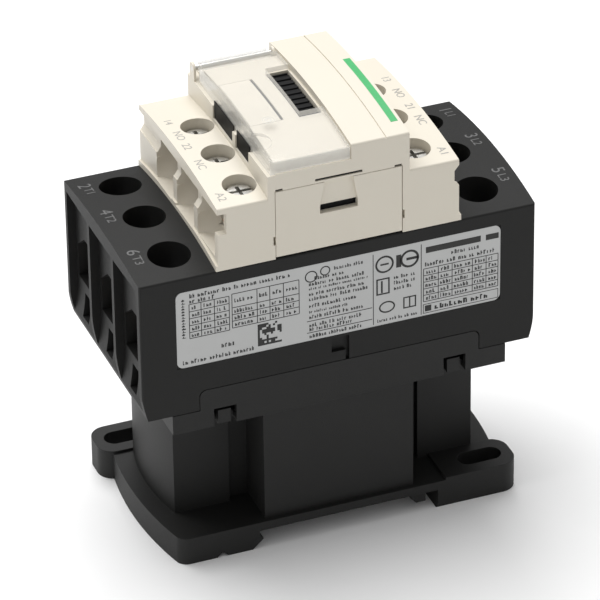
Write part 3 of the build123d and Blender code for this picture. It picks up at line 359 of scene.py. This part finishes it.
def addRing(bm, x, z, radius, line, squash):
    middle = faceMatrix(x * mm, z * mm) @ Matrix.Diagonal((1.0, squash, 1.0, 1.0))
    made = bmesh.ops.create_circle(bm, cap_ends=True, segments=28, radius=radius * mm, matrix=middle)
    faces = list({face for vert in made["verts"] for face in vert.link_faces})
    bmesh.ops.inset_region(bm, faces=faces, thickness=line * mm, use_boundary=True)
    bmesh.ops.delete(bm, geom=faces, context="FACES")


def addFrame(bm, left, right, low, high, line):
    addBar(bm, left, right, high - line, high)
    addBar(bm, left, right, low, low + line)
    addBar(bm, left, left + line, low + line, high - line)
    addBar(bm, right - line, right, low + line, high - line)


wordLook = {
    "letters": (2, 7), "letter": 0.62, "narrowest": 0.55, "tall": (0.7, 0.72, 1.0), "stem": 0.5,
    "armChance": 0.8, "armLevels": (0.0, 0.38, 0.72), "armStart": 0.4, "armEnd": 0.9, "armLine": 0.26,
    "tailChance": 0.6, "tailStart": 0.62, "tailTall": 0.72, "gap": 0.2, "space": 0.5,
}


def addWords(bm, left, right, z, height, dice, letter=wordLook["letter"]):
    # a line of print too small to read, as short strokes grouped like words
    look = wordLook
    x = left
    foot = z - height / 2
    while x < right - letter * height:
        for _ in range(dice.randint(*look["letters"])):
            wide = height * letter * dice.uniform(look["narrowest"], 1.0)
            if x + wide > right:
                return
            tall = height * dice.choice(look["tall"])
            addBar(bm, x, x + wide * look["stem"], foot, foot + tall)
            if dice.random() < look["armChance"]:
                arm = foot + tall * dice.choice(look["armLevels"])
                end = x + wide * look["armEnd"]
                addBar(bm, x + wide * look["armStart"], end, arm, arm + height * look["armLine"])
            if dice.random() < look["tailChance"]:
                addBar(bm, x + wide * look["tailStart"], x + wide, foot, foot + tall * look["tailTall"])
            x += wide + height * look["gap"]
        x += height * look["space"]


tableLook = {"insets": (0.35, 0.6), "margin": 0.3, "fill": 0.62}


def addTable(bm, columns, rows, line, dice, height):
    for z in rows:
        addBar(bm, columns[0], columns[-1], z - line / 2, z + line / 2)
    for x in columns:
        addBar(bm, x - line / 2, x + line / 2, rows[-1], rows[0])
    for high, low in zip(rows, rows[1:]):
        for left, right in zip(columns, columns[1:]):
            start = left + dice.uniform(*tableLook["insets"])
            tall = min(height, (high - low) * tableLook["fill"])
            addWords(bm, start, right - tableLook["margin"], (high + low) / 2, tall, dice)


def addCells(bm, look, dice):
    cell = look["size"] / look["count"]
    for column in range(look["count"]):
        for row in range(look["count"]):
            edge = column == 0 or row == 0
            if edge or dice.random() < look["share"]:
                x = look["left"] + column * cell
                z = look["low"] + row * cell
                addBar(bm, x, x + cell, z, z + cell)


labelLook = {
    "seed": 14, "rule": 0.17,
    "headLines": [(-31.8, -10.3, 63.7, 0.95), (-31.8, -25.3, 62.5, 0.95)],
    "shortLines": [(-25.3, -21.6, 50.8, 1.2), (-33.5, -18.3, 48.5, 0.95)],
    "midLines": [
        (-1.2, 5.6, 63.1, 0.82), (-5.4, 1.2, 61.7, 0.82), (-6.6, 5.6, 60.5, 0.85), (-6.6, 6.4, 59.4, 0.62),
        (-6.6, 5.2, 58.2, 0.85), (-6.6, 6.2, 57.0, 0.85), (-6.6, 3.6, 55.4, 0.85), (-6.6, 2.0, 54.0, 0.62),
        (-6.6, 5.4, 52.8, 0.85), (-6.6, 4.8, 50.9, 0.85), (-6.6, 2.6, 49.9, 0.85), (-6.6, 5.2, 48.3, 0.85),
    ],
    "markLines": [(11.6, 16.6, 57.9, 0.85), (11.6, 16.2, 56.6, 0.85), (11.6, 15.4, 55.3, 0.85),
                  (8.0, 16.8, 48.4, 0.75)],
    "rightLines": [(24.0, 30.8, 60.9, 0.95), (18.3, 33.6, 59.3, 0.95)],
    "tables": [
        {"columns": (-31.9, -29.4, -26.6, -23.5), "rows": (61.8, 60.1, 58.5, 56.9, 55.3, 53.9), "tall": 0.85},
        {"columns": (-22.9, -17.6, -14.9, -12.0, -8.7), "rows": (62.1, 58.9, 57.3, 55.8, 54.2), "tall": 0.9},
        {"columns": (18.0, 21.2, 24.2, 28.6, 31.6, 34.2), "rows": (58.3, 56.7, 55.2, 53.6, 52.1, 50.6),
         "tall": 0.9},
    ],
    "midRules": [(-7.1, 6.9, 51.85), (-7.1, 6.9, 49.15)],
    "posts": [(7.15, 47.7, 64.2), (17.5, 47.7, 64.2)],
    "upright": {"count": 14, "low": 54.2, "pitch": 0.66, "left": -33.5, "widths": (0.62, 0.8),
                "lines": (0.14, 0.3), "stem": (-33.3, -33.1), "stemTall": 0.46},
    "cells": {"left": -17.6, "low": 48.6, "size": 5.1, "count": 11, "share": 0.5},
    "rings": [(-6.1, 62.2, 1.35, 0.26, 1.0), (-3.1, 62.9, 1.1, 0.26, 1.0), (9.6, 61.4, 2.0, 0.42, 1.0),
              (15.0, 61.5, 2.05, 0.5, 1.0), (10.1, 51.3, 1.75, 0.34, 0.78)],
    "bars": [(8.7, 10.5, 61.2, 61.6), (12.1, 13.2, 60.0, 62.9), (14.3, 16.9, 61.2, 61.8),
             (8.8, 9.2, 54.8, 57.6), (14.85, 15.15, 50.3, 52.4), (18.3, 19.7, 48.2, 49.6),
             (18.5, 30.4, 61.9, 63.3), (31.5, 34.3, 61.9, 63.2)],
    "frames": [(7.8, 10.7, 54.4, 58.2, 0.34), (13.6, 16.4, 50.0, 52.7, 0.3), (17.9, 34.3, 47.8, 50.0, 0.14)],
    "boxedLine": {"left": 20.4, "right": 33.6, "z": 48.9, "height": 1.15, "letter": 0.8},
}


def keepPiece(bm, name, finish, body):
    bmesh.ops.recalc_face_normals(bm, faces=bm.faces)
    mesh = bpy.data.meshes.new(name)
    bm.to_mesh(mesh)
    bm.free()
    piece = bpy.data.objects.new(name, mesh)
    bpy.context.scene.collection.objects.link(piece)
    dress(piece, finish)
    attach(piece, body)


def thicken(bm, step):
    out = bmesh.ops.extrude_face_region(bm, geom=list(bm.faces))
    moved = [item for item in out["geom"] if isinstance(item, bmesh.types.BMVert)]
    bmesh.ops.translate(bm, verts=moved, vec=step)


def addUprightLine(bm, look, dice):
    # a line of print that runs up the label's left edge
    for step in range(look["count"]):
        z = look["low"] + step * look["pitch"]
        end = look["left"] + dice.choice(look["widths"])
        addBar(bm, look["left"], end, z, z + dice.choice(look["lines"]))
        addBar(bm, *look["stem"], z, z + look["stemTall"])


def makeLabelPrint(look):
    dice = random.Random(look["seed"])
    half = look["rule"] / 2
    bm = bmesh.new()
    for group in ("headLines", "shortLines", "midLines", "markLines", "rightLines"):
        for left, right, z, height in look[group]:
            addWords(bm, left, right, z, height, dice)
    for table in look["tables"]:
        addTable(bm, table["columns"], table["rows"], look["rule"], dice, table["tall"])
    for left, right, z in look["midRules"]:
        addBar(bm, left, right, z - half, z + half)
    for x, low, high in look["posts"]:
        addBar(bm, x - half, x + half, low, high)
    addUprightLine(bm, look["upright"], dice)
    addCells(bm, look["cells"], dice)
    for ring in look["rings"]:
        addRing(bm, *ring)
    for bar in look["bars"]:
        addBar(bm, *bar)
    for outline in look["frames"]:
        addFrame(bm, *outline)
    boxed = look["boxedLine"]
    addWords(bm, boxed["left"], boxed["right"], boxed["z"], boxed["height"], dice, boxed["letter"])
    thicken(bm, (0, -cadLook["printDepth"], 0))
    keepPiece(bm, "labelPrint", "inkDark", rootBody)


capShare = 0.7  # height of a capital over the size of its type


def printedText(words, x, y, height, top, rise, finish, name):
    # terminal number read from the load side, standing on a bowed top
    curve = bpy.data.curves.new(name, "FONT")
    curve.body = words
    curve.size = height * mm / capShare
    curve.align_x = "CENTER"
    curve.align_y = "CENTER"
    curve.extrude = cadLook["printDepth"]
    curve.resolution_u = 4
    holder = bpy.data.objects.new(name + "Curve", curve)
    bpy.context.scene.collection.objects.link(holder)
    bpy.context.view_layer.update()
    mesh = bpy.data.meshes.new_from_object(holder.evaluated_get(bpy.context.evaluated_depsgraph_get()))
    bpy.data.objects.remove(holder)
    bpy.data.curves.remove(curve)
    bm = bmesh.new()
    bm.from_mesh(mesh)
    bpy.data.meshes.remove(mesh)
    lifted = top + cadLook["printDepth"] / 2
    for vert in bm.verts:
        across, along, lift = vert.co
        place = y * mm - across
        vert.co = (x * mm + along, place, lifted + bowHeight(place, rise) + lift)
    keepPiece(bm, name, finish, rootBody)


housingMarks = [
    ("2", -39.6, 17.4, 2.7), ("T1", -39.4, 14.6, 1.9), ("4", -39.5, 4.6, 2.7), ("T2", -39.5, 1.8, 1.9),
    ("6", -39.5, -11.4, 2.7), ("T3", -39.4, -14.2, 1.9), ("1", 39.6, 18.4, 2.7), ("L1", 39.7, 15.8, 1.9),
    ("3", 39.7, 4.8, 2.7), ("L2", 39.7, 2.0, 1.9), ("5", 39.5, -9.6, 2.7), ("L3", 39.5, -12.4, 1.9),
]
coverMarks = [
    ("14", -23.3, 11.7, 1.55), ("NO", -23.3, 5.2, 1.7), ("22", -23.4, 0.5, 1.7), ("NC", -23.3, -6.9, 1.7),
    ("A2", -23.4, -18.7, 1.7), ("13", 23.6, 11.2, 1.7), ("NO", 23.6, 4.4, 1.7), ("21", 23.6, -1.6, 1.7),
    ("NC", 23.6, -7.1, 1.7), ("A1", 23.6, -18.8, 1.7),
]
markGroups = {
    "poleMark": {"marks": housingMarks, "top": "housingTop", "rise": "housingRise", "finish": "inkPale"},
    "smallMark": {"marks": coverMarks, "top": "coverTop", "rise": "coverRise", "finish": "inkGrey"},
}
bandLooks = {
    "accentStripe": {"x": (12.85, 14.35), "y": (-18.0, 7.7), "top": 90.5, "thick": 0.012,
                     "finish": "inkGreen"},
    # dark strip over the gap beside the marker card: painted shade standing in for the shadow in that slot
    "markerGapShade": {"x": (-6.38, -5.82), "y": (-7.6, 9.9), "top": 88.5, "thick": 0.1, "finish": "carrier"},
}
# dark plates set just inside slots and gaps: painted shade standing in for the shadow in these openings
shadeLinerLooks = {
    "sideSlotFront": {"x": (-14.7, -14.5), "y": (-11.98, -4.72), "z": (84.22, 88.2)},
    "sideSlotBack": {"x": (-14.7, -14.5), "y": (-2.98, 7.98), "z": (84.22, 88.2)},
    "panelSlot": {"x": (-3.9, 3.9), "y": (-21.25, -21.1), "z": (76.35, 77.75)},
    "panelSlit": {"x": (-4.96, 4.96), "y": (-22.2, -22.0), "z": (83.88, 84.36)},
    "cornerMarkLeft": {"x": (-13.36, -11.84), "y": (-22.2, -22.0), "z": (83.44, 83.82)},
    "cornerMarkRight": {"x": (11.84, 13.36), "y": (-22.2, -22.0), "z": (83.44, 83.82)},
}
shadeLinerEdge = 0.2  # share of a liner's thickness that its edges are eased by
gateLook = {"place": (-9.5, -8.9), "rings": ((1.3, 0.22), (0.8, 0.5)), "thick": 0.01, "top": 90.25}


def makeBand(name, look):
    # thin strip that follows the bowed top
    left, right = look["x"]
    front, back = look["y"]
    bm = bmesh.new()
    bmesh.ops.create_grid(bm, x_segments=2, y_segments=40, size=0.5)
    for vert in bm.verts:
        x = (left + (vert.co.x + 0.5) * (right - left)) * mm
        y = (front + (vert.co.y + 0.5) * (back - front)) * mm
        vert.co = (x, y, look["top"] * mm + bowHeight(y, cadLook["coverRise"]))
    thicken(bm, (0, 0, look["thick"] * mm))
    keepPiece(bm, name, look["finish"], rootBody)


def makeShadeLiner(name, look):
    # painted shade: a dark plate just inside a gap, standing in for the shadow there, with its edges eased
    bm = bmesh.new()
    middle = [sum(look[axis]) / 2 * mm for axis in "xyz"]
    size = [(look[axis][1] - look[axis][0]) * mm for axis in "xyz"]
    bmesh.ops.create_cube(bm, size=1.0, matrix=Matrix.Translation(middle) @ Matrix.Diagonal((*size, 1.0)))
    bmesh.ops.bevel(bm, geom=list(bm.edges), offset=min(size) * shadeLinerEdge, segments=2, affect="EDGES")
    keepPiece(bm, name, "carrier", rootBody)


def makeGateMark(look):
    # round mark left by the mould on the clear flap
    bm = bmesh.new()
    x, y = look["place"]
    for radius, line in look["rings"]:
        made = bmesh.ops.create_circle(bm, cap_ends=True, segments=32, radius=radius * mm)
        faces = list({face for vert in made["verts"] for face in vert.link_faces})
        bmesh.ops.inset_region(bm, faces=faces, thickness=line * mm, use_boundary=True)
        bmesh.ops.delete(bm, geom=faces, context="FACES")
    thicken(bm, (0, 0, look["thick"] * mm))
    for vert in bm.verts:
        along = vert.co.y + y * mm
        height = vert.co.z + look["top"] * mm + bowHeight(along, cadLook["coverRise"])
        vert.co = (vert.co.x + x * mm, along, height)
    keepPiece(bm, "gateMark", "clearWallShaded", bodyOfNode("front_flap"))


makeLabelPrint(labelLook)
for groupName, group in markGroups.items():
    top = cadLook[group["top"]]
    rise = cadLook[group["rise"]]
    for index, (words, x, y, height) in enumerate(group["marks"]):
        printedText(words, x, y, height, top, rise, group["finish"], groupName + str(index))
for bandName, bandLook in bandLooks.items():
    makeBand(bandName, bandLook)
for shadeLinerName, shadeLinerLook in shadeLinerLooks.items():
    makeShadeLiner(shadeLinerName, shadeLinerLook)
makeGateMark(gateLook)
print("stage: printing done")


stageLook = {"floorSize": 6.0, "floorColour": (0.93, 0.93, 0.93), "floorGrain": 40.0,
             "floorRoughness": 0.9, "worldColour": (1.0, 1.0, 1.0), "worldStrength": 0.46}


def makeFloor(look):
    bm = bmesh.new()
    bmesh.ops.create_grid(bm, x_segments=8, y_segments=8, size=look["floorSize"] / 2)
    mesh = bpy.data.meshes.new("studioFloor")
    bm.to_mesh(mesh)
    bm.free()
    floor = bpy.data.objects.new("studioFloor", mesh)
    bpy.context.scene.collection.objects.link(floor)
    material, nodes, links, shader = startMaterial("paleFloor")
    grain = noiseOf(nodes, links, objectPoint(nodes), look["floorGrain"])
    colour = rampOf(nodes, links, grain, [(0.3, look["floorColour"]), (0.7, tint(look["floorColour"], 1.02))])
    links.new(colour, shader.inputs["Base Color"])
    shader.inputs["Roughness"].default_value = look["floorRoughness"]
    mesh.materials.append(material)


def makeWorld(look):
    world = bpy.data.worlds.new("softStudio")
    bpy.context.scene.world = world
    world.use_nodes = True
    background = world.node_tree.nodes["Background"]
    background.inputs["Color"].default_value = (*look["worldColour"], 1.0)
    background.inputs["Strength"].default_value = look["worldStrength"]


def aimed(thing, place, target):
    thing.location = place
    thing.rotation_euler = (Vector(target) - Vector(place)).to_track_quat("-Z", "Y").to_euler()


lampTarget = (0.0, 0.0, 0.045)
lampLooks = {
    "topSoftbox": {"place": (-0.1, 0.45, 1.1), "size": 1.1, "power": 17.5},
    "leftSoftbox": {"place": (-1.0, 0.0, 0.45), "size": 0.6, "power": 0.5},
    "frontFill": {"place": (-0.2, -1.2, 0.5), "size": 0.8, "power": 0.3},
}


def makeLamp(name, look):
    light = bpy.data.lights.new(name, "AREA")
    light.energy = look["power"]
    light.size = look["size"]
    lamp = bpy.data.objects.new(name, light)
    bpy.context.scene.collection.objects.link(lamp)
    aimed(lamp, look["place"], lampTarget)


cameraLook = {"azimuth": -20.906, "elevation": 31.978, "roll": -0.79, "distance": 1.04155,
              "target": (0.0, 0.0, 0.045), "nudgeRight": 0.0000823, "nudgeUp": -0.002245,
              "lens": 306.8, "sensor": 36.0, "clipEnd": 20.0}


def makeCamera(look):
    turn = math.radians(look["azimuth"])
    lift = math.radians(look["elevation"])
    roll = math.radians(look["roll"])
    back = Vector((math.sin(turn) * math.cos(lift), -math.cos(turn) * math.cos(lift), math.sin(lift)))
    right = Vector((math.cos(turn), math.sin(turn), 0.0))
    up = back.cross(right)
    rolledRight = right * math.cos(roll) + up * math.sin(roll)
    rolledUp = up * math.cos(roll) - right * math.sin(roll)
    data = bpy.data.cameras.new("mainCamera")
    data.lens = look["lens"]
    data.sensor_width = look["sensor"]
    data.clip_end = look["clipEnd"]
    camera = bpy.data.objects.new("mainCamera", data)
    bpy.context.scene.collection.objects.link(camera)
    place = Vector(look["target"]) + back * look["distance"]
    place += rolledRight * look["nudgeRight"] + rolledUp * look["nudgeUp"]
    columns = Matrix((rolledRight, rolledUp, back)).transposed().to_4x4()
    camera.matrix_world = Matrix.Translation(place) @ columns
    bpy.context.scene.camera = camera


makeFloor(stageLook)
makeWorld(stageLook)
for lampName, lampLook in lampLooks.items():
    makeLamp(lampName, lampLook)
makeCamera(cameraLook)
bpy.context.scene.view_settings.view_transform = "Standard"
print("stage: studio set")
